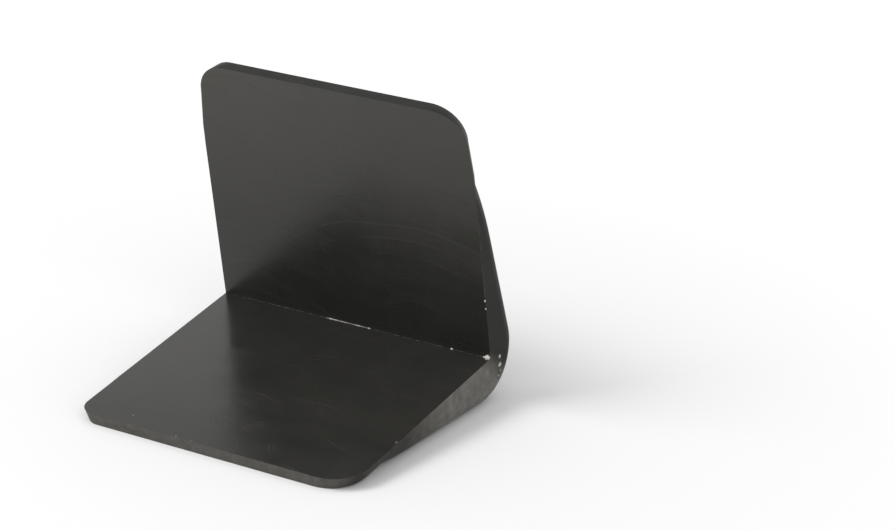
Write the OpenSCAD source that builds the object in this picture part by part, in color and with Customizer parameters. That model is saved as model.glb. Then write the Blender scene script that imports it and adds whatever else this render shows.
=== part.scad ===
// Edge protector for a lashing strap, moulded in one piece: two flat legs meet at a right angle
// and sit on the corner of a load. Outside, a rib along each side guides the strap between them
// over a rounded seat. It is drawn as it rests, on the tip of its lying leg and on the rib noses.
// The fold is the line where the two inner faces meet, and it runs along X.
// Right and left are as seen from in front of the inner corner.

/* [Fold] */
// Width of the protector along the fold
body_w = 128; // [115:1:150]

/* [Standing leg] */
// Length of the inner face, from the fold to the top edge
stand_len = 104.4; // [98:0.1:120]
// Thickness of the plate
stand_t = 5.9; // [5:0.1:7]
// Radius of the top right corner
stand_right_round = 13; // [8:0.5:20]
// Lean of the bevelled right side edge, which faces a little outwards
stand_right_lean = 33; // [20:1:35]
// Radius of the top left corner
stand_left_round = 11; // [8:0.5:20]
// Lean of the left side edge, which is almost square
stand_left_lean = 6; // [4:1:20]
// Height above the fold from which both sides draw in
stand_upright = 77; // [77:1:82]
// Angle by which they draw in above that height
stand_draw = 4.5; // [1:0.5:6]

/* [Lying leg] */
// Length of the inner face, from the fold to the tip edge
lie_len = 99.2; // [98:0.1:120]
// Thickness of the plate
lie_t = 4.6; // [4:0.1:6]
// Radius of the right tip corner
lie_right_round = 13.5; // [8:0.5:20]
// Lean of the bevelled right side edge
lie_right_lean = 25; // [10:1:30]
// Radius of the left tip corner
lie_left_round = 7; // [6:0.5:20]
// Lean of the bevelled left side edge
lie_left_lean = 20; // [10:1:30]

/* [Strap seat] */
// Radius of the rounded seat that carries the strap round the corner
seat_r = 16.3; // [16:0.1:17.5]
// Distance of the seat's axis from each inner face
seat_in = 8.5; // [8:0.1:9]

/* [Side ribs] */
// Radius of the nose that each rib makes round the corner
nose_r = 22; // [21:0.1:24]
// Distance of the nose's axis from each inner face
nose_in = 2.6; // [2:0.1:3]
// Slope of the straight stretch of the crest against the leg
crest_slope = 9.5; // [9:0.1:10]
// Distance from the fold at which the standing leg's ribs start to bend down to the plate
stand_straight = 49.7; // [48:0.1:56]
// Radius of that bend
stand_runout_r = 150; // [140:1:220]
// Distance from the fold at which the lying leg's ribs start to bend down to the plate
lie_straight = 57; // [50:0.1:60]
// Radius of that bend
lie_runout_r = 190; // [150:1:220]
// Radius of the crest on the outer side
crest_round = 7; // [5:0.1:8]
// Width of the level land on the crest
crest_land = 0.3; // [0.1:0.1:1]
// Radius of the crest on the strap's side
crest_inner_round = 1.1; // [1:0.1:2]
// Lean of the rib's wall on the strap's side
wall_lean = 15; // [10:1:25]
// How far the ribs' side faces stand proud of the plates' side edges
rib_proud = 0.1; // [0.1:0.1:0.6]

/* [Hidden] */
$fn = 96;
plastic = [0.14, 0.14, 0.13];
// Half the width of the plates' inner faces
plate_half = body_w / 2 - rib_proud;
// Each half nose is swept this much further than the mitre plane that cuts it, in degrees
mitre_past = 6;
// The ribs are swept from this radius outwards, which the load's corner cuts away again
root_r = nose_in * 0.8;
// Each bend goes on until its crest has sunk this deep under the plate's face
sink = 3;
// At rest the bottom of the tip edge and the rib noses touch the ground together
tip_reach = [lie_len - nose_in, lie_t + nose_in];
rest_tilt = asin(nose_r / norm(tip_reach)) - atan(tip_reach[1] / tip_reach[0]);
rest_lift = lie_len * sin(rest_tilt) + lie_t * cos(rest_tilt);
// The origin is on the ground under the middle of the part
front_y = -lie_len * cos(rest_tilt);
back_y = nose_r - nose_in * (cos(rest_tilt) + sin(rest_tilt));
rest_shift = -(front_y + back_y) / 2;

// Outline of a leg for one side: straight up the side, round the corner, along the end
module plate_outline(side, len, corner_r) {
    polygon([
        [-2 * side, 0],
        [side, 0],
        [side, len - corner_r],
        [side - corner_r, len],
        [-2 * side, len]
    ]);
    translate([side - corner_r, len - corner_r]) circle(r = corner_r);
}

// The same for a side that draws in above a given height
module drawn_outline(side, len, corner_r, upright, draw) {
    drawn_by = (len - corner_r - upright) * tan(draw) + corner_r / cos(draw);
    middle = [side - drawn_by, len - corner_r];
    // The side ends a hair inside the corner's round, so that the two cross cleanly
    side_end = middle + 0.995 * corner_r * [cos(draw), sin(draw)];
    polygon([
        [-2 * side, 0],
        [side, 0],
        [side, upright],
        side_end,
        [middle[0], len],
        [-2 * side, len]
    ]);
    translate(middle) circle(r = corner_r);
}

// What lies inside a right side edge: the given outline, leaning over the width of the plate
module inside_edge(lean) {
    rotate([0, 0, lean])
        translate([0, body_w, 0])
            rotate([90, 0, 0])
                linear_extrude(2 * body_w)
                    children();
}

// The sheet that a leg's plate is cut from, with its square end edge
module sheet(len, t) {
    translate([-body_w, 0, seat_in]) cube([2 * body_w, t, len - seat_in]);
}

module standing_plate() {
    intersection() {
        sheet(stand_len, stand_t);
        inside_edge(stand_right_lean)
            drawn_outline(plate_half * cos(stand_right_lean), stand_len, stand_right_round,
                stand_upright, stand_draw);
        mirror([1, 0, 0])
            inside_edge(stand_left_lean)
                drawn_outline(plate_half * cos(stand_left_lean), stand_len, stand_left_round,
                    stand_upright, stand_draw);
    }
}

// The lying leg's plate, drawn standing
module lying_plate() {
    intersection() {
        sheet(lie_len, lie_t);
        inside_edge(lie_right_lean)
            plate_outline(plate_half * cos(lie_right_lean), lie_len, lie_right_round);
        mirror([1, 0, 0])
            inside_edge(lie_left_lean)
                plate_outline(plate_half * cos(lie_left_lean), lie_len, lie_left_round);
    }
}

// The seat's full round, closed at both ends inside the ribs
module strap_seat() {
    seat_w = body_w - 2 * crest_round;
    translate([-seat_w / 2, -seat_in, seat_in])
        rotate([0, 90, 0])
            cylinder(r = seat_r, h = seat_w);
}

// Section of a rib: first axis out from the nose's axis, second axis in from the side
module rib_section() {
    inner_at = crest_round + crest_land;
    // The wall starts a hair inside the crest's inner round, so that the two cross cleanly
    wall_r = 0.995 * crest_inner_round;
    foot = [
        nose_r - crest_inner_round + wall_r * sin(wall_lean),
        inner_at + wall_r * cos(wall_lean)
    ];
    polygon([
        [root_r, 0],
        [nose_r - crest_round, 0],
        [nose_r, crest_round],
        [nose_r, inner_at],
        foot,
        [root_r, foot[1] + (foot[0] - root_r) * tan(wall_lean)]
    ]);
    intersection() {
        translate([nose_r - crest_round, crest_round]) circle(r = crest_round);
        translate([nose_r - crest_round, 0]) square(crest_round);
    }
    translate([nose_r - crest_inner_round, inner_at]) circle(r = crest_inner_round);
}

// The rib's section turned about an axis along X: round the nose, or back up the leg
module turned_rib(turn, extra_r = 0) {
    rotate([0, -90, 0])
        rotate([0, 0, 90])
            rotate_extrude(angle = turn)
                translate([extra_r, -body_w / 2]) rib_section();
}

// The right rib: half its nose, straight up the leg, then bending down into a plate of thickness t
module right_rib(t, straight, runout_r) {
    run = (straight - nose_in - nose_r * sin(crest_slope)) / cos(crest_slope);
    crest_y = -nose_in + nose_r * cos(crest_slope) - run * sin(crest_slope);
    runout_turn = acos(cos(crest_slope) - (crest_y - t + sink) / runout_r) - crest_slope;
    translate([0, -nose_in, nose_in])
        rotate([crest_slope, 0, 0]) {
            turned_rib(crest_slope + 45 + mitre_past);
            linear_extrude(run)
                rotate(90) translate([0, -body_w / 2]) rib_section();
            translate([0, nose_r - runout_r, run])
                turned_rib(-runout_turn, runout_r - nose_r);
        }
}

// The room on the standing leg's side of the fold's mitre plane, out from its inner face
module leg_room() {
    reach = 2 * max(stand_len, lie_len);
    rotate([90, 0, 90])
        linear_extrude(2 * body_w, center = true)
            polygon([[0, 0], [reach, -reach], [reach, reach], [0, reach]]);
}

// One leg up to the mitre plane, drawn standing: its given plate, the seat and the two ribs
module leg(t, straight, runout_r) {
    intersection() {
        union() {
            children();
            strap_seat();
            right_rib(t, straight, runout_r);
            mirror([1, 0, 0]) right_rib(t, straight, runout_r);
        }
        leg_room();
    }
}

module edge_protector() {
    color(plastic)
        translate([0, rest_shift, rest_lift])
            rotate([rest_tilt, 0, 0]) {
                leg(stand_t, stand_straight, stand_runout_r) standing_plate();
                mirror([0, 1, 1]) leg(lie_t, lie_straight, lie_runout_r) lying_plate();
            }
}

edge_protector();
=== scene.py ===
import math

import bmesh
import bpy
from mathutils import Matrix, Vector


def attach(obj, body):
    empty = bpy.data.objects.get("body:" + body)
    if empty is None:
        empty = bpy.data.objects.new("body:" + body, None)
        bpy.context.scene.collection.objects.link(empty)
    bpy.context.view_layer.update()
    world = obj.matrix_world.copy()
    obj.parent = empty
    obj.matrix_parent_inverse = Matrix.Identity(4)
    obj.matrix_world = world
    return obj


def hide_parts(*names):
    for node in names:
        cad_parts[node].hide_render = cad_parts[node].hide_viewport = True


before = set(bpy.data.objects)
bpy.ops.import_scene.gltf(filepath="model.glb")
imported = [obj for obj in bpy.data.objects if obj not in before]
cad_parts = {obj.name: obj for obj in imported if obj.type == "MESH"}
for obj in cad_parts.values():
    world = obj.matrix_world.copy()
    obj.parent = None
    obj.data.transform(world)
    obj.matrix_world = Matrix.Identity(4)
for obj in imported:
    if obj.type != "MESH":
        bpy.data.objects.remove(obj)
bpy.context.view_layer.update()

millimetre = 0.001


# small helpers for node trees
def setInputs(tree, node, inputs):
    # what comes from another node is linked, and any other value is set
    for key, value in inputs.items():
        if isinstance(value, bpy.types.NodeSocket):
            tree.links.new(value, node.inputs[key])
        else:
            node.inputs[key].default_value = value


def addNode(tree, kind, inputs=None, **settings):
    node = tree.nodes.new(kind)
    for key, value in settings.items():
        setattr(node, key, value)
    setInputs(tree, node, inputs or {})
    return node


def newMaterial(name):
    material = bpy.data.materials.new(name)
    material.use_nodes = True
    tree = material.node_tree
    tree.nodes.clear()
    shader = addNode(tree, "ShaderNodeBsdfPrincipled")
    addNode(tree, "ShaderNodeOutputMaterial", {"Surface": shader.outputs["BSDF"]})
    return material, tree, shader


def spread(tree, source, low, high, newLow=0.0, newHigh=1.0):
    # a grey value from low to high becomes one from newLow to newHigh
    node = addNode(tree, "ShaderNodeMapRange", {
        "Value": source, "From Min": low, "From Max": high,
        "To Min": newLow, "To Max": newHigh})
    return node.outputs["Result"]


def combine(tree, operation, first, *others):
    result = first
    for other in others:
        node = addNode(tree, "ShaderNodeMath", {0: result, 1: other}, operation=operation)
        result = node.outputs["Value"]
    return result


def addUp(tree, first, *shares):
    # the first value, plus each of the others times its share
    total = first
    for value, share in shares:
        total = combine(tree, "ADD", total, combine(tree, "MULTIPLY", value, share))
    return total


def vector(tree, operation, first, second=(0, 0, 0)):
    node = addNode(tree, "ShaderNodeVectorMath", {0: first, 1: second}, operation=operation)
    return node.outputs["Value" if operation in ("DOT_PRODUCT", "LENGTH") else "Vector"]


def split(tree, place):
    return addNode(tree, "ShaderNodeSeparateXYZ", {"Vector": place}).outputs


def noise(tree, place, size, detail, roughness=0.5):
    # size is how many lumps there are in a millimetre
    return addNode(tree, "ShaderNodeTexNoise", {
        "Vector": place, "Scale": size, "Detail": detail, "Roughness": roughness})


def bloom(tree, place, size):
    return noise(tree, place, size, 4.0, 0.6).outputs["Fac"]


def bumped(tree, height, strength, distance):
    bump = addNode(tree, "ShaderNodeBump", {
        "Height": height, "Strength": strength, "Distance": distance})
    return bump.outputs["Normal"]


def mixColours(tree, amount, first, second):
    mix = addNode(tree, "ShaderNodeMix", {"A": first, "B": second, "Factor": amount},
                  data_type="RGBA")
    return mix.outputs["Result"]


# where the legs are: the rest pose tips the part back a little
restSet = {
    "tilt": 8.8646,       # degrees that the part leans back from square
    "foldY": 39.4923,     # millimetres, where the two inner faces meet
    "foldZ": 19.8317,
}


def legFrame():
    # turns the part's own leg axes into the scene's, with the origin on the fold
    fold = Vector((0, restSet["foldY"], restSet["foldZ"])) * millimetre
    return Matrix.Translation(fold) @ Matrix.Rotation(math.radians(restSet["tilt"]), 4, "X")


def legPoint(x, y, z):
    return legFrame() @ (Vector((x, y, z)) * millimetre)


def legPlace(tree):
    # the shader's place in leg axes, in millimetres
    back = legFrame().inverted()
    place = addNode(tree, "ShaderNodeTexCoord")
    turned = addNode(tree, "ShaderNodeMapping", {
        "Vector": place.outputs["Object"], "Location": back.translation / millimetre,
        "Rotation": back.to_euler(), "Scale": [1 / millimetre] * 3}, vector_type="POINT")
    return turned.outputs["Vector"]


# the moulding's plastic: black, and warm in its sheen
plasticSet = {
    "base": (0.0110, 0.0109, 0.0092, 1),
    "fadedAndHighlight": (0.0230, 0.0222, 0.0190, 1),        # where it is rubbed or has a bloom, and the painted highlight on rounded edges
    "hazedAndLit": (0.0370, 0.0360, 0.0325, 1),        # a dry haze, and painted light: paler high up, where the face takes more light
    "paintedLit": (0.1650, 0.1580, 0.1450, 1),      # painted light: paler on the lying leg's tip and on its sides below the fold, which catch more light
    "grainPeak": (0.0480, 0.0465, 0.0410, 1),    # the tops of the grain
    "sheen": (1.0, 0.980, 0.925, 1),
    "cloudSeen": (0.35, 0.65),                   # the part of a bloom that changes the gloss
}

# the marks of the melt's flow; sizes count per millimetre along the fold and across it
flowSet = {
    "pullSize": 0.017,                   # a slow pull bends all the marks out of line
    "pull": (0.0, 26.0, 26.0),           # millimetres
    "streakSize": (0.008, 0.15, 0.15),   # soft streaks
    "streakSeen": (0.35, 0.65),
    "lineTilt": (0.10, 1.0, 1.0),        # thin lines that fall slightly to the right
    "lineSize": 0.052,
    "lineBend": 2.2,
    "lineBendSize": 0.4,
    "lineSeen": (0.965, 0.998, 0.0, 0.55),
    "patchSize": (0.020, 0.075, 0.075),  # where the thin lines show
    "patchSeen": (0.47, 0.60),
    "hairAlong": (0.022, 0.0, 0.0),      # streaks as fine as hairs
    "hairAcross": (0.055, 0.55, 0.55),
    "hairSeen": (0.50, 0.70, 0.0, 0.40),
    "arcSway": (0.0, 8.0, 8.0),          # millimetres that the arcs are bent by
    "arcSwayMean": (0.0, 4.0, 4.0),
    "arcBroken": (0.42, 0.56, 0.25, 1.0),
    "arcGap": 0.17,                      # from arc to arc, as a share of the radius
    "arcHalf": 0.40,                     # millimetres from an arc's middle to its edge
    "arcCore": 0.2,                      # the share of that which is at full strength
    "arcSeen": 0.85,
    "arcThrough": 0.02,                  # per millimetre into the leg
    "arcFade": (0.35, 0.85),             # towards an arc's ends
}

# arcs where the melt turned: middle in leg axes, radii, the way they lie, and how many
swirlSet = (
    ((-6.0, 0, 76.0), (17.0, 19.5), (0.35, -1.0), 1),
    ((-8.0, 0, 70.0), (24.0, 13.0), (-0.1, -1.0), 2),
    ((-13.0, 0, 97.0), (7.5, 7.0), (0.6, 0.8), 2),
    ((-34.0, 0, 60.0), (14.0, 11.0), (-0.2, 1.0), 3),
    ((34.0, 0, 18.0), (66.0, 33.0), (-0.1, 1.0), 2),
    ((0.0, -78.0, 0), (13.0, 11.0), (-1.0, 0.25), 3),
    ((15.0, -83.0, 0), (10.5, 10.0), (-1.0, 0.1), 2),
    ((30.0, -86.0, 0), (10.0, 9.0), (-1.0, 0.0), 3),
    ((-40.0, -92.0, 0), (80.0, 38.0), (-0.1, 1.0), 1),
    ((6.0, -44.0, 0), (16.0, 19.0), (-0.7, 0.8), 2),
)


def swirl(tree, place, middle, radii, facing, count):
    # a few thin arcs, one inside the other, on whichever leg their middle lies
    gap, through = flowSet["arcGap"], flowSet["arcThrough"]
    if middle[2] > 0:
        shape, way = (1 / radii[0], through, 1 / radii[1]), (facing[0], 0, facing[1])
    else:
        shape, way = (1 / radii[0], 1 / radii[1], through), (facing[0], facing[1], 0)
    scaled = vector(tree, "MULTIPLY", vector(tree, "SUBTRACT", place, middle), shape)
    # inward is 0 on the outermost arc and a whole number on each of the others
    inside = combine(tree, "SUBTRACT", 1.0, vector(tree, "LENGTH", scaled))
    inward = combine(tree, "MULTIPLY", inside, 1 / gap)
    nearest = combine(tree, "MAXIMUM", combine(tree, "ROUND", inward, 0.0), 0.0)
    nearest = combine(tree, "MINIMUM", nearest, float(count - 1))
    off = combine(tree, "ABSOLUTE", combine(tree, "SUBTRACT", inward, nearest), 0.0)
    half = flowSet["arcHalf"] / (gap * min(radii))
    line = spread(tree, off, flowSet["arcCore"] * half, half, flowSet["arcSeen"], 0.0)
    side = vector(tree, "DOT_PRODUCT", scaled, way)
    return combine(tree, "MULTIPLY", line, spread(tree, side, *flowSet["arcFade"]))


def flowMarks(tree, place):
    # thin marks, soft streaks and fine hairs
    pull = noise(tree, place, flowSet["pullSize"], 1.0).outputs["Color"]
    moved = vector(tree, "ADD", place, vector(tree, "MULTIPLY", pull, flowSet["pull"]))
    drawn = vector(tree, "MULTIPLY", moved, flowSet["streakSize"])
    streak = noise(tree, drawn, 1.0, 1.5).outputs["Fac"]
    bands = addNode(tree, "ShaderNodeTexWave", {
        "Vector": vector(tree, "MULTIPLY", moved, flowSet["lineTilt"]),
        "Scale": flowSet["lineSize"], "Distortion": flowSet["lineBend"],
        "Detail": 1.0, "Detail Scale": flowSet["lineBendSize"]},
        wave_type="BANDS", bands_direction="DIAGONAL")
    line = spread(tree, bands.outputs["Fac"], *flowSet["lineSeen"])
    longer = vector(tree, "MULTIPLY", place, flowSet["patchSize"])
    patch = noise(tree, longer, 1.0, 1.0).outputs["Fac"]
    marks = combine(tree, "MULTIPLY", line, spread(tree, patch, *flowSet["patchSeen"]))
    sway = vector(tree, "ADD", place, vector(tree, "MULTIPLY", pull, flowSet["arcSway"]))
    sway = vector(tree, "SUBTRACT", sway, flowSet["arcSwayMean"])
    broken = spread(tree, streak, *flowSet["arcBroken"])
    for middle, radii, facing, count in swirlSet:
        arcs = swirl(tree, sway, middle, radii, facing, count)
        marks = combine(tree, "MAXIMUM", marks, combine(tree, "MULTIPLY", arcs, broken))
    joined = addNode(tree, "ShaderNodeCombineXYZ", {
        "X": vector(tree, "DOT_PRODUCT", moved, flowSet["hairAlong"]),
        "Y": vector(tree, "DOT_PRODUCT", moved, flowSet["hairAcross"])})
    hair = noise(tree, joined.outputs["Vector"], 1.0, 2.0).outputs["Fac"]
    return (marks, spread(tree, streak, *flowSet["streakSeen"]),
            spread(tree, hair, *flowSet["hairSeen"]))


# the haze and painted light: one place in millimetres, another one, and how much there is at
# each
hazeAndLightSet = {
    "up": (38.0, 102.0, 0.0, 1.0),            # it grows up the standing leg, painted paler where the light there is brighter
    "across": (-60.0, 60.0, 1.0, 0.5),        # and is weaker on the right
    "lowUp": (10.0, 45.0, 0.0, 0.55),         # on the right it starts lower down
    "lowAcross": (-15.0, 35.0, 0.0, 1.0),
    "lieAlong": (-92.0, -60.0, 0.0, 0.28),    # and there is a little on the lying leg
    "lying": (0.5, 2.0, 1.0, 0.0),
}


def hazeAndLightAmount(tree, place):
    axes = split(tree, place)
    high = combine(tree, "MULTIPLY", spread(tree, axes["Z"], *hazeAndLightSet["up"]),
                   spread(tree, axes["X"], *hazeAndLightSet["across"]))
    right = combine(tree, "MULTIPLY", spread(tree, axes["Z"], *hazeAndLightSet["lowUp"]),
                    spread(tree, axes["X"], *hazeAndLightSet["lowAcross"]))
    lying = spread(tree, axes["Z"], *hazeAndLightSet["lying"])
    flat = combine(tree, "MULTIPLY", spread(tree, axes["Y"], *hazeAndLightSet["lieAlong"]), lying)
    return combine(tree, "MAXIMUM", high, right, flat), lying


# the smooth inner faces, which lie on the load
innerSet = {
    "rough": (0.21, 0.28),
    "marksRough": 0.08,
    "streaksRough": 0.05,
    "lyingSmooth": 0.045,        # the lying leg is glossier by this
    "cloudSize": 0.045,
    "cloudPale": (0.45, 0.75, 0.0, 0.25),
    "cloudHazeAndLight": (0.30, 0.70, 0.80, 1.20),
    "marksPale": 0.60,
    "fineSize": 1.3,
    "wideSize": 0.035,
    "fineHeight": 0.012,         # heights are in millimetres
    "wideHeight": 0.06,
    "marksHeight": 0.028,
    "streaksHeight": 0.014,
    "twist": 0.0007,             # rise per square millimetre of x times y
    "bump": 0.7,
}


def innerFaceMaterial():
    material, tree, shader = newMaterial("mouldedSmooth")
    place = legPlace(tree)
    marks, streaks, hairs = flowMarks(tree, place)
    hazeAndLight, lying = hazeAndLightAmount(tree, place)
    cloud = bloom(tree, place, innerSet["cloudSize"])
    rough = addUp(tree, spread(tree, cloud, *plasticSet["cloudSeen"], *innerSet["rough"]),
                  (marks, innerSet["marksRough"]), (lying, -innerSet["lyingSmooth"]),
                  (streaks, innerSet["streaksRough"]))
    hazeAndLight = combine(tree, "MULTIPLY", hazeAndLight, spread(tree, cloud, *innerSet["cloudHazeAndLight"]))
    # haze and painted light: the inner faces are painted paler high up the standing leg
    colour = mixColours(tree, hazeAndLight, plasticSet["base"], plasticSet["hazedAndLit"])
    pale = addUp(tree, spread(tree, cloud, *innerSet["cloudPale"]),
                 (marks, innerSet["marksPale"]))
    pale = combine(tree, "MAXIMUM", pale, hairs)
    colour = mixColours(tree, pale, colour, plasticSet["fadedAndHighlight"])
    fine = noise(tree, place, innerSet["fineSize"], 2.0).outputs["Fac"]
    wide = noise(tree, place, innerSet["wideSize"], 1.0).outputs["Fac"]
    # the lying face is a hair out of true towards its tip
    axes = split(tree, place)
    twist = combine(tree, "MULTIPLY", axes["X"], axes["Y"])
    height = addUp(tree, combine(tree, "MULTIPLY", fine, innerSet["fineHeight"]),
                   (wide, innerSet["wideHeight"]), (marks, innerSet["marksHeight"]),
                   (streaks, innerSet["streaksHeight"]), (twist, innerSet["twist"]))
    setInputs(tree, shader, {
        "Specular Tint": plasticSet["sheen"], "Base Color": colour, "Roughness": rough,
        "Normal": bumped(tree, height, innerSet["bump"], millimetre)})
    return material


# the fine grain of the outer faces, and the nearly smooth edges all round the legs
roughSet = {
    "mouldedGrain": {"rough": (0.46, 0.60), "shine": 0.50, "size": 0.50, "depth": 0.12},
    # painted shade: the edges' low shine dims their reflections, standing in for the darkness
    # that the neighbouring protector casts on the sides
    "mouldedEdge": {"rough": (0.43, 0.56), "shine": 0.12, "size": 0.45, "depth": 0.045},
    "cloudSize": 0.06,
    "cloudPale": (0.40, 0.75, 0.0, 0.5),
    "rubAndHighlightPale": 0.8,
    "rubAndHighlightWidth": 0.5,             # millimetres
    "rubAndHighlightSteps": 6,
    "rubAndHighlightSeen": (0.995, 0.90),
    "dustSize": 0.8,             # as a share of the grain's
    "dustHeight": 1.5,
}

# the seat, the noses and the crests are worn smoother
wornSet = {
    "seat": (-11.5, -7.0),                 # y less z
    "crest": (56.8, 58.5, 0.0, 0.85),      # how far out to the side
    "smoother": 0.20,
    "peaks": (0.38, 0.70),
    "peaksLeft": (0.0, 1.0, 1.0, 0.75),
    "grainLeft": (0.0, 1.0, 1.0, 0.45),
}

# painted light: the lying leg's tip and its sides below the fold are painted paler where they
# catch more light, the sides more so towards the nose
paintedLitAndGrainSet = {
    "below": (4.0, -8.0),                  # y plus z
    "towardsNose": (-62.0, -30.0, 0.15, 1.0),
    "tip": (-90.0, -97.0, 0.0, 0.60),
    "mottleSize": 0.35,
    "mottle": (0.30, 0.70, 0.60, 1.0),
    "topGrain": (90.0, 101.0, 0.25, 1.0),  # both ends keep all of their fine unevenness
    "tipGrain": (-87.0, -96.0, 0.25, 1.0),
}


def edgeRubAndHighlight(tree):
    # rounded edges are painted paler, partly as wear and partly as a painted highlight; a
    # rounded edge shows where the bevelled normal leaves the face's own
    soft = addNode(tree, "ShaderNodeBevel", {"Radius": roughSet["rubAndHighlightWidth"] * millimetre},
                   samples=roughSet["rubAndHighlightSteps"])
    own = addNode(tree, "ShaderNodeNewGeometry")
    turn = vector(tree, "DOT_PRODUCT", soft.outputs["Normal"], own.outputs["Normal"])
    return spread(tree, turn, *roughSet["rubAndHighlightSeen"])


def wornAmount(tree, place):
    axes = split(tree, place)
    out = combine(tree, "ABSOLUTE", axes["X"], 0.0)
    seat = spread(tree, combine(tree, "SUBTRACT", axes["Y"], axes["Z"]), *wornSet["seat"])
    return combine(tree, "MAXIMUM", seat, spread(tree, out, *wornSet["crest"]))


def paintedLitAmount(tree, place):
    axes = split(tree, place)
    below = combine(tree, "ADD", axes["Y"], axes["Z"])
    sides = combine(tree, "MULTIPLY", spread(tree, below, *paintedLitAndGrainSet["below"]),
                    spread(tree, axes["Y"], *paintedLitAndGrainSet["towardsNose"]))
    where = combine(tree, "MAXIMUM", sides, spread(tree, axes["Y"], *paintedLitAndGrainSet["tip"]))
    mottle = spread(tree, bloom(tree, place, paintedLitAndGrainSet["mottleSize"]), *paintedLitAndGrainSet["mottle"])
    return combine(tree, "MULTIPLY", where, mottle)


def roughMaterial(name, grained):
    material, tree, shader = newMaterial(name)
    finish = roughSet[name]
    place = legPlace(tree)
    cloud = bloom(tree, place, roughSet["cloudSize"])
    rough = spread(tree, cloud, *plasticSet["cloudSeen"], *finish["rough"])
    # rounded edges are painted paler: wear and a painted highlight
    pale = addUp(tree, spread(tree, cloud, *roughSet["cloudPale"]),
                 (edgeRubAndHighlight(tree), roughSet["rubAndHighlightPale"]))
    colour = mixColours(tree, pale, plasticSet["base"], plasticSet["fadedAndHighlight"])
    speck = addNode(tree, "ShaderNodeTexVoronoi", {
        "Vector": place, "Scale": 1 / finish["size"], "Randomness": 1.0})
    dust = noise(tree, place, roughSet["dustSize"] / finish["size"], 3.0).outputs["Fac"]
    if grained:
        worn = wornAmount(tree, place)
        rough = addUp(tree, rough, (worn, -wornSet["smoother"]))
        peaks = combine(tree, "MULTIPLY", spread(tree, dust, *wornSet["peaks"]),
                        spread(tree, worn, *wornSet["peaksLeft"]))
        colour = mixColours(tree, peaks, colour, plasticSet["grainPeak"])
        left = spread(tree, worn, *wornSet["grainLeft"])
    else:
        # painted light: the lying leg's tip and sides below the fold are painted paler
        colour = mixColours(tree, paintedLitAmount(tree, place), colour, plasticSet["paintedLit"])
        axes = split(tree, place)
        left = combine(tree, "MAXIMUM", spread(tree, axes["Z"], *paintedLitAndGrainSet["topGrain"]),
                       spread(tree, axes["Y"], *paintedLitAndGrainSet["tipGrain"]))
    height = addUp(tree, speck.outputs["Distance"], (dust, roughSet["dustHeight"]))
    height = combine(tree, "MULTIPLY", height, left)
    setInputs(tree, shader, {
        "Specular Tint": plasticSet["sheen"], "Specular IOR Level": finish["shine"],
        "Base Color": colour, "Roughness": rough,
        "Normal": bumped(tree, height, 1.0, finish["depth"] * millimetre)})
    return material


# the moulding
mouldingSet = {
    "edgeRound": 0.40,     # millimetres that every moulded edge is rounded by
    "edgeSteps": 3,
    "sharpFrom": 24,       # degrees between faces from which an edge counts as one
    "mergeWithin": 0.002,  # millimetres
    "planeWithin": 0.4,    # degrees
    "flatFrom": 200,       # square millimetres from which a face is a true plane
    "halfWidth": 64.0,
    "sideRoom": 0.14,      # what the sides stand back, so that their beads fit in
}

# how its faces are told apart, in leg axes and millimetres
faceSet = {
    "innerWithin": 0.6,   # how near an inner plane, and how squarely it faces off it
    "innerTurn": 0.6,
    "sideFrom": 58,       # how far out a side face is, and how squarely it faces sideways
    "sideTurn": 0.78,
    "standRibsEnd": 85,   # beyond the ribs, only what faces off the plate is grained
    "lieRibsEnd": -82,
    "outerTurn": 0.9,
}

# the numbers of the moulding's materials
innerFace, grainedFace, edgeFace = 0, 1, 2


def faceKind(centre, normal):
    near, turn = faceSet["innerWithin"], faceSet["innerTurn"]
    onStanding = normal.y < -turn and abs(centre.y) < near
    onLying = normal.z > turn and abs(centre.z) < near
    if onStanding or onLying:
        return innerFace
    if abs(normal.x) > faceSet["sideTurn"] and abs(centre.x) > faceSet["sideFrom"]:
        return edgeFace
    outer = faceSet["outerTurn"]
    onTop = centre.z > faceSet["standRibsEnd"] and abs(normal.y) < outer
    onTip = centre.y < faceSet["lieRibsEnd"] and abs(normal.z) < outer
    return edgeFace if onTop or onTip else grainedFace


def makeMoulding():
    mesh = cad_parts["edge_protector"].data.copy()
    mesh.materials.clear()
    body = bmesh.new()
    body.from_mesh(mesh)
    bmesh.ops.remove_doubles(body, verts=body.verts,
                             dist=mouldingSet["mergeWithin"] * millimetre)
    bmesh.ops.dissolve_limit(body, angle_limit=math.radians(mouldingSet["planeWithin"]),
                             use_dissolve_boundaries=False,
                             verts=body.verts, edges=body.edges)
    body.to_mesh(mesh)
    body.free()
    moulding = bpy.data.objects.new("moulding", mesh)
    bpy.context.scene.collection.objects.link(moulding)
    bevel = moulding.modifiers.new("edgeRound", "BEVEL")
    bevel.width = mouldingSet["edgeRound"] * millimetre
    bevel.segments = mouldingSet["edgeSteps"]
    bevel.limit_method = "ANGLE"
    bevel.angle_limit = math.radians(mouldingSet["sharpFrom"])
    bevel.use_clamp_overlap = True
    bpy.context.view_layer.update()
    seen = moulding.evaluated_get(bpy.context.evaluated_depsgraph_get())
    finished = bpy.data.meshes.new_from_object(seen)
    moulding.modifiers.clear()
    moulding.data = finished
    finished.materials.append(innerFaceMaterial())
    finished.materials.append(roughMaterial("mouldedGrain", grained=True))
    finished.materials.append(roughMaterial("mouldedEdge", grained=False))
    narrower = 1 - mouldingSet["sideRoom"] / mouldingSet["halfWidth"]
    for vertex in finished.vertices:
        vertex.co.x *= narrower
    toLeg = legFrame().inverted()
    turn = toLeg.to_3x3()
    flatFrom = mouldingSet["flatFrom"] * millimetre ** 2
    for face in finished.polygons:
        face.material_index = faceKind(toLeg @ face.center / millimetre, turn @ face.normal)
        face.use_smooth = face.area < flatFrom
    print("moulding:", len(finished.polygons), "faces")
    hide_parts("edge_protector")
    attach(moulding, "root")


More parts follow.
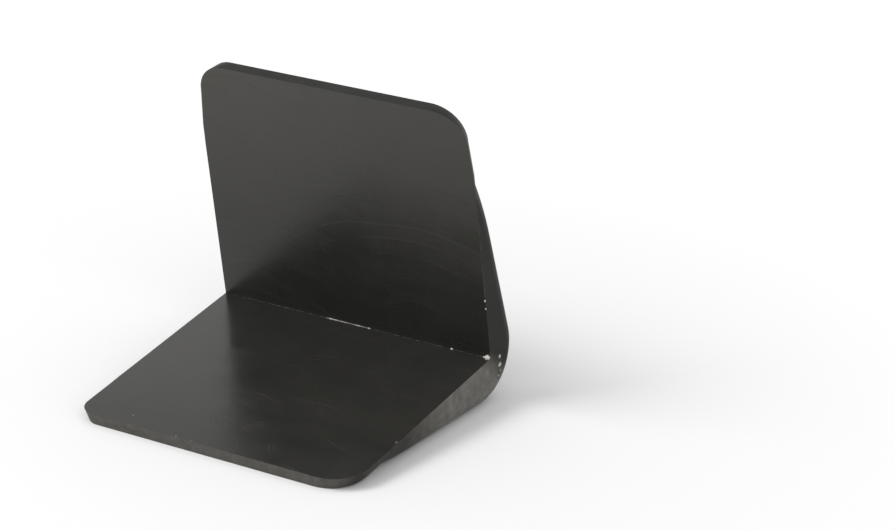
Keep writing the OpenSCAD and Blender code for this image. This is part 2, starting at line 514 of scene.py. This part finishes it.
# flash: thin ragged lines of burr where the mould closed; all in leg axes and millimetres
flashSet = {
    "foldLine": {"start": (-60.0, -0.03, 0.03), "end": (63.0, -0.03, 0.03),
                 "thick": 0.075, "ragged": 0.95, "seed": 3.0, "paint": "flashDull"},
    "foldBright": {"start": (-13.3, -0.10, 0.10), "end": (7.2, -0.10, 0.10),
                   "thick": 0.25, "ragged": 0.75, "seed": 8.0, "paint": "flashPale"},
    "sideLine": {"start": (63.80, -0.02, 58.9), "end": (63.82, -0.02, 27.8),
                 "thick": 0.085, "ragged": 0.95, "seed": 5.0, "paint": "flashDull"},
}

burrSet = {
    "flashPale": (0.55, 0.54, 0.50, 1),
    "flashDull": (0.13, 0.127, 0.115, 1),
    "darker": 0.7,               # what its darker spots keep of the colour
    "spotSize": 0.5,
    "rough": (0.3, 0.7, 0.30, 0.55),
    "step": 0.25,                # millimetres between the rings of the mesh
    "sides": 6,
    "rag": 900.0,                # lumps in a metre
    "ragSeen": (0.42, 0.68),
}


def flashTree():
    tree = bpy.data.node_groups.new("flashLine", "GeometryNodeTree")
    for name, kind in (("Start", "NodeSocketVector"), ("End", "NodeSocketVector"),
                       ("Thick", "NodeSocketFloat"), ("Ragged", "NodeSocketFloat"),
                       ("Seed", "NodeSocketFloat"), ("Material", "NodeSocketMaterial")):
        tree.interface.new_socket(name=name, in_out="INPUT", socket_type=kind)
    tree.interface.new_socket(name="Mesh", in_out="OUTPUT", socket_type="NodeSocketGeometry")
    given = addNode(tree, "NodeGroupInput").outputs
    line = addNode(tree, "GeometryNodeCurvePrimitiveLine", {
        "Start": given["Start"], "End": given["End"]})
    steps = addNode(tree, "GeometryNodeResampleCurve", {
        "Curve": line.outputs["Curve"], "Length": burrSet["step"] * millimetre},
        mode="LENGTH")
    place = addNode(tree, "GeometryNodeInputPosition")
    rag = addNode(tree, "ShaderNodeTexNoise", {
        "Vector": place.outputs["Position"], "W": given["Seed"],
        "Scale": burrSet["rag"], "Detail": 2.0}, noise_dimensions="4D")
    # the ragged share of the thickness comes and goes, and the rest is always there
    solid = combine(tree, "SUBTRACT", 1.0, given["Ragged"])
    swell = addNode(tree, "ShaderNodeMath", {
        0: spread(tree, rag.outputs["Fac"], *burrSet["ragSeen"]),
        1: given["Ragged"], 2: solid}, operation="MULTIPLY_ADD")
    profile = addNode(tree, "GeometryNodeCurvePrimitiveCircle", {
        "Resolution": burrSet["sides"], "Radius": 1.0})
    body = addNode(tree, "GeometryNodeCurveToMesh", {
        "Curve": steps.outputs["Curve"], "Profile Curve": profile.outputs["Curve"],
        "Scale": combine(tree, "MULTIPLY", swell.outputs["Value"], given["Thick"]),
        "Fill Caps": True})
    real = addNode(tree, "GeometryNodeRealizeInstances", {"Geometry": body.outputs["Mesh"]})
    paint = addNode(tree, "GeometryNodeSetMaterial", {
        "Geometry": real.outputs["Geometry"], "Material": given["Material"]})
    addNode(tree, "NodeGroupOutput", {"Mesh": paint.outputs["Geometry"]})
    return tree


def flashMaterial(name):
    material, tree, shader = newMaterial(name)
    cloud = bloom(tree, legPlace(tree), burrSet["spotSize"])
    colour = burrSet[name]
    darker = tuple(burrSet["darker"] * value for value in colour[:3]) + (1,)
    setInputs(tree, shader, {"Base Color": mixColours(tree, cloud, darker, colour),
                             "Roughness": spread(tree, cloud, *burrSet["rough"])})
    return material


def makeFlash():
    tree = flashTree()
    paints = {name: flashMaterial(name) for name in ("flashPale", "flashDull")}
    sockets = {item.name: item.identifier for item in tree.interface.items_tree
               if item.item_type == "SOCKET" and item.in_out == "INPUT"}
    for name, values in flashSet.items():
        flash = bpy.data.objects.new(name, bpy.data.meshes.new(name))
        bpy.context.scene.collection.objects.link(flash)
        grow = flash.modifiers.new("flash", "NODES")
        grow.node_group = tree
        grow[sockets["Start"]] = legPoint(*values["start"])
        grow[sockets["End"]] = legPoint(*values["end"])
        grow[sockets["Thick"]] = values["thick"] * millimetre
        grow[sockets["Ragged"]] = values["ragged"]
        grow[sockets["Seed"]] = values["seed"]
        grow[sockets["Material"]] = paints[values["paint"]]
        bpy.context.view_layer.update()
        seen = flash.evaluated_get(bpy.context.evaluated_depsgraph_get())
        finished = bpy.data.meshes.new_from_object(seen)
        flash.modifiers.clear()
        flash.data = finished
        for face in finished.polygons:
            face.use_smooth = True
        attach(flash, "root")
        print(name + ":", len(finished.polygons), "faces")


# small marks: each lump's place in leg axes, half sizes, and how far it is out of round
markSet = {
    "gateBeads": {"gloss": 0.30, "colour": (0.42, 0.405, 0.37, 1), "lumps": (
        ((63.70, 6.6, -2.5), (0.28, 1.0, 0.95), 0.12),
        ((63.68, 6.1, -6.0), (0.30, 1.25, 1.05), 0.14),
        ((63.74, 6.2, -8.7), (0.24, 0.5, 0.30), 0.25),
        ((63.74, 4.6, -10.1), (0.24, 0.45, 0.25), 0.25),
    )},
    "gatePits": {"gloss": 0.35, "colour": (0.012, 0.012, 0.010, 1), "lumps": (
        ((63.80, 5.0, -8.3), (0.19, 1.3, 0.55), 0.25),
        ((63.80, 5.6, -9.5), (0.19, 1.1, 0.40), 0.25),
        ((63.80, 4.2, -11.0), (0.19, 0.9, 0.40), 0.25),
        ((63.80, 7.6, -4.3), (0.19, 0.7, 0.30), 0.25),
    )},
    "cornerBead": {"gloss": 0.25, "colour": (0.62, 0.60, 0.55, 1), "lumps": (
        ((62.8, -0.5, 0.5), (1.05, 0.95, 1.0), 0.18),
        ((61.2, -0.3, 0.2), (0.55, 0.40, 0.40), 0.3),
    )},
    "edgeBeads": {"gloss": 0.30, "colour": (0.60, 0.585, 0.53, 1), "lumps": (
        ((63.68, 0.0, 25.9), (0.26, 0.30, 0.50), 0.2),
        ((63.70, 0.0, 22.4), (0.24, 0.26, 0.36), 0.2),
        ((46.1, -0.20, 0.20), (0.55, 0.35, 0.35), 0.15),
        ((7.0, -0.15, 0.15), (0.60, 0.25, 0.25), 0.2),
        ((-11.5, -0.14, 0.14), (0.8, 0.24, 0.24), 0.2),
    )},
    "chips": {"gloss": 0.45, "colour": (0.16, 0.155, 0.14, 1), "lumps": (
        ((63.3, -66.5, -0.05), (0.45, 0.65, 0.14), 0.3),
        ((-16.2, -98.6, -0.04), (0.6, 0.30, 0.12), 0.35),
        ((-8.9, -98.7, -0.04), (0.5, 0.22, 0.12), 0.35),
        ((-40.8, -93.2, -0.06), (0.45, 0.4, 0.10), 0.3),
    )},
}

lumpSet = {
    "roundness": 3,              # times that the ball's faces are divided
    "spotSize": 0.8,
    "spotSeen": (0.3, 0.7),
    "glossShares": (0.8, 1.3),   # of the roughness given, at the spots' two ends
    "waves": (5, 4, 9),          # how fast a lump's surface rises and falls along each axis
    "waveShift": 2.1,            # how much they differ from one lump to the next
    "upShare": 0.5,
    "inWidth": 0.01,             # millimetres that no lump comes nearer to the full width
}


def unevenness(point, number):
    # a smooth wobble over a ball, different for each lump
    alongX, alongY, alongZ = (wave * part for wave, part in zip(lumpSet["waves"], point))
    across = math.sin(alongX + lumpSet["waveShift"] * number) * math.cos(alongY + number)
    return across + lumpSet["upShare"] * math.sin(alongZ + number)


def markMaterial(name, gloss, colour):
    material, tree, shader = newMaterial(name)
    cloud = bloom(tree, legPlace(tree), lumpSet["spotSize"])
    ends = [gloss * share for share in lumpSet["glossShares"]]
    setInputs(tree, shader, {
        "Base Color": colour,
        "Roughness": spread(tree, cloud, *lumpSet["spotSeen"], *ends)})
    return material


def makeMarks():
    turn = legFrame().to_3x3().to_4x4()
    farthest = (mouldingSet["halfWidth"] - lumpSet["inWidth"]) * millimetre
    for name, values in markSet.items():
        marks = bmesh.new()
        for number, (middle, half, pull) in enumerate(values["lumps"]):
            stretch = Matrix.Diagonal((*(size * millimetre for size in half), 1))
            move = Matrix.Translation(legPoint(*middle)) @ turn @ stretch
            made = bmesh.ops.create_icosphere(marks, subdivisions=lumpSet["roundness"],
                                              radius=1.0)
            for vertex in made["verts"]:
                vertex.co *= 1 + pull * unevenness(vertex.co, number)
                vertex.co = move @ vertex.co
                vertex.co.x = min(vertex.co.x, farthest)
        mesh = bpy.data.meshes.new(name)
        marks.to_mesh(mesh)
        marks.free()
        mesh.materials.append(markMaterial(name, values["gloss"], values["colour"]))
        for face in mesh.polygons:
            face.use_smooth = True
        lump = bpy.data.objects.new(name, mesh)
        bpy.context.scene.collection.objects.link(lump)
        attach(lump, "root")
        print(name + ":", len(mesh.polygons), "faces")


# the plain pale floor and the soft light, in metres
studioSet = {
    "floorSize": 6.0,
    "floorColour": (0.97, 0.97, 0.97, 1),
    "floorRough": 0.9,
    "shadowEnds": (0.10, 0.26),  # how far from the part the floor turns plain white
    "skyColour": (1, 1, 1, 1),
    "skyLevel": 0.60,
    "seenLevel": 1.0,            # what the camera and reflections see of the sky
    "aim": (0, 0, 0.05),
}

lampSet = {
    "keyLight": {"place": (-0.9, -0.7, 1.3), "size": 0.9, "power": 14},
    "fillLight": {"place": (1.2, -0.8, 0.9), "size": 1.0, "power": 5},
}


def seenRays(tree):
    # 1 on a ray that the camera sees by, straight, mirrored or through something
    rays = addNode(tree, "ShaderNodeLightPath").outputs
    return combine(tree, "MAXIMUM", rays["Is Camera Ray"], rays["Is Glossy Ray"],
                   rays["Is Transmission Ray"])


def makeFloor():
    half = studioSet["floorSize"] / 2
    mesh = bpy.data.meshes.new("floor")
    mesh.from_pydata([(-half, -half, 0), (half, -half, 0), (half, half, 0), (-half, half, 0)],
                     [], [(0, 1, 2, 3)])
    floor = bpy.data.objects.new("floor", mesh)
    bpy.context.scene.collection.objects.link(floor)
    material, tree, shader = newMaterial("paleFloor")
    setInputs(tree, shader, {"Base Color": studioSet["floorColour"],
                             "Roughness": studioSet["floorRough"]})
    # away from the part it is seen as plain white, and near it the shadow stays
    white = addNode(tree, "ShaderNodeEmission", {"Color": (1, 1, 1, 1), "Strength": 1.0})
    place = addNode(tree, "ShaderNodeTexCoord")
    away = vector(tree, "LENGTH", place.outputs["Object"])
    far = spread(tree, away, *studioSet["shadowEnds"])
    blend = addNode(tree, "ShaderNodeMixShader", {
        "Fac": combine(tree, "MULTIPLY", far, seenRays(tree)),
        1: shader.outputs["BSDF"], 2: white.outputs["Emission"]})
    output = next(node for node in tree.nodes if node.type == "OUTPUT_MATERIAL")
    setInputs(tree, output, {"Surface": blend.outputs["Shader"]})
    mesh.materials.append(material)


def makeLight():
    world = bpy.data.worlds.new("studio")
    bpy.context.scene.world = world
    world.use_nodes = True
    tree = world.node_tree
    level = spread(tree, seenRays(tree), 0.0, 1.0,
                   studioSet["skyLevel"], studioSet["seenLevel"])
    setInputs(tree, tree.nodes["Background"], {
        "Color": studioSet["skyColour"], "Strength": level})
    for name, values in lampSet.items():
        light = bpy.data.lights.new(name, "AREA")
        light.size = values["size"]
        light.energy = values["power"]
        lamp = bpy.data.objects.new(name, light)
        lamp.location = values["place"]
        aim = Vector(studioSet["aim"]) - Vector(values["place"])
        lamp.rotation_euler = aim.to_track_quat("-Z", "Y").to_euler()
        bpy.context.scene.collection.objects.link(lamp)


# the camera, at the photograph's place
cameraSet = {
    "place": (632.72, -886.40, 487.96),        # millimetres
    "looks": (-0.49909, 0.78493, -0.36714),
    "lens": 122.08,                            # millimetres, and so is the sensor
    "sensor": 36,
    "clip": (0.05, 20),                        # metres
}


def makeCamera():
    camera = bpy.data.cameras.new("camera")
    camera.lens = cameraSet["lens"]
    camera.sensor_width = cameraSet["sensor"]
    camera.sensor_fit = "HORIZONTAL"
    camera.clip_start, camera.clip_end = cameraSet["clip"]
    viewer = bpy.data.objects.new("camera", camera)
    viewer.location = Vector(cameraSet["place"]) * millimetre
    viewer.rotation_euler = Vector(cameraSet["looks"]).to_track_quat("-Z", "Y").to_euler()
    bpy.context.scene.collection.objects.link(viewer)
    bpy.context.scene.camera = viewer


makeCamera()
makeFloor()
makeLight()
makeMoulding()
makeFlash()
makeMarks()
bpy.context.scene.view_settings.view_transform = "Standard"

bpy.context.view_layer.update()
